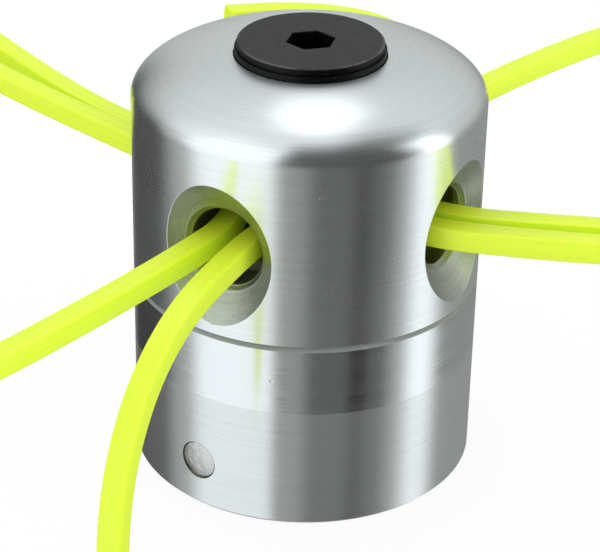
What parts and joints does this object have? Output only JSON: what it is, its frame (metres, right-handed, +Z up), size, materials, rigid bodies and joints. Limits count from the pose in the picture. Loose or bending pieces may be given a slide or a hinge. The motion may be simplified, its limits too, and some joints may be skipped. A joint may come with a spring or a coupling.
{
  "type": "trimmer head",
  "caption": "Fixed-line trimmer head: a turned aluminium base and domed cap, clamped by a countersunk screw, with flared ports that hold square line.",
  "frame": {"origin": "centre of the head's underside, where the base ends", "axes": "+Z up along the spindle axis, through the clamp screw; +X and +Y each along one line port"},
  "size_m": [0.1592, 0.1611, 0.0613],
  "materials": {
    "base_aluminium": "fine turned, satin",
    "cap_aluminium": "turned and polished",
    "black_steel": "black oxide, matte",
    "bush_steel": "turned",
    "pin_steel": "blasted, satin",
    "nylon_line": "extruded, translucent"
  },
  "bodies": {
    "root": {"base_body": "base_aluminium", "line_cap": "cap_aluminium", "clamp_screw": "black_steel", "spindle_bush": "bush_steel", "lock_pin": "pin_steel", "line_1": "nylon_line", "line_2": "nylon_line", "line_3": "nylon_line", "line_4": "nylon_line"}
  },
  "joints": []
}
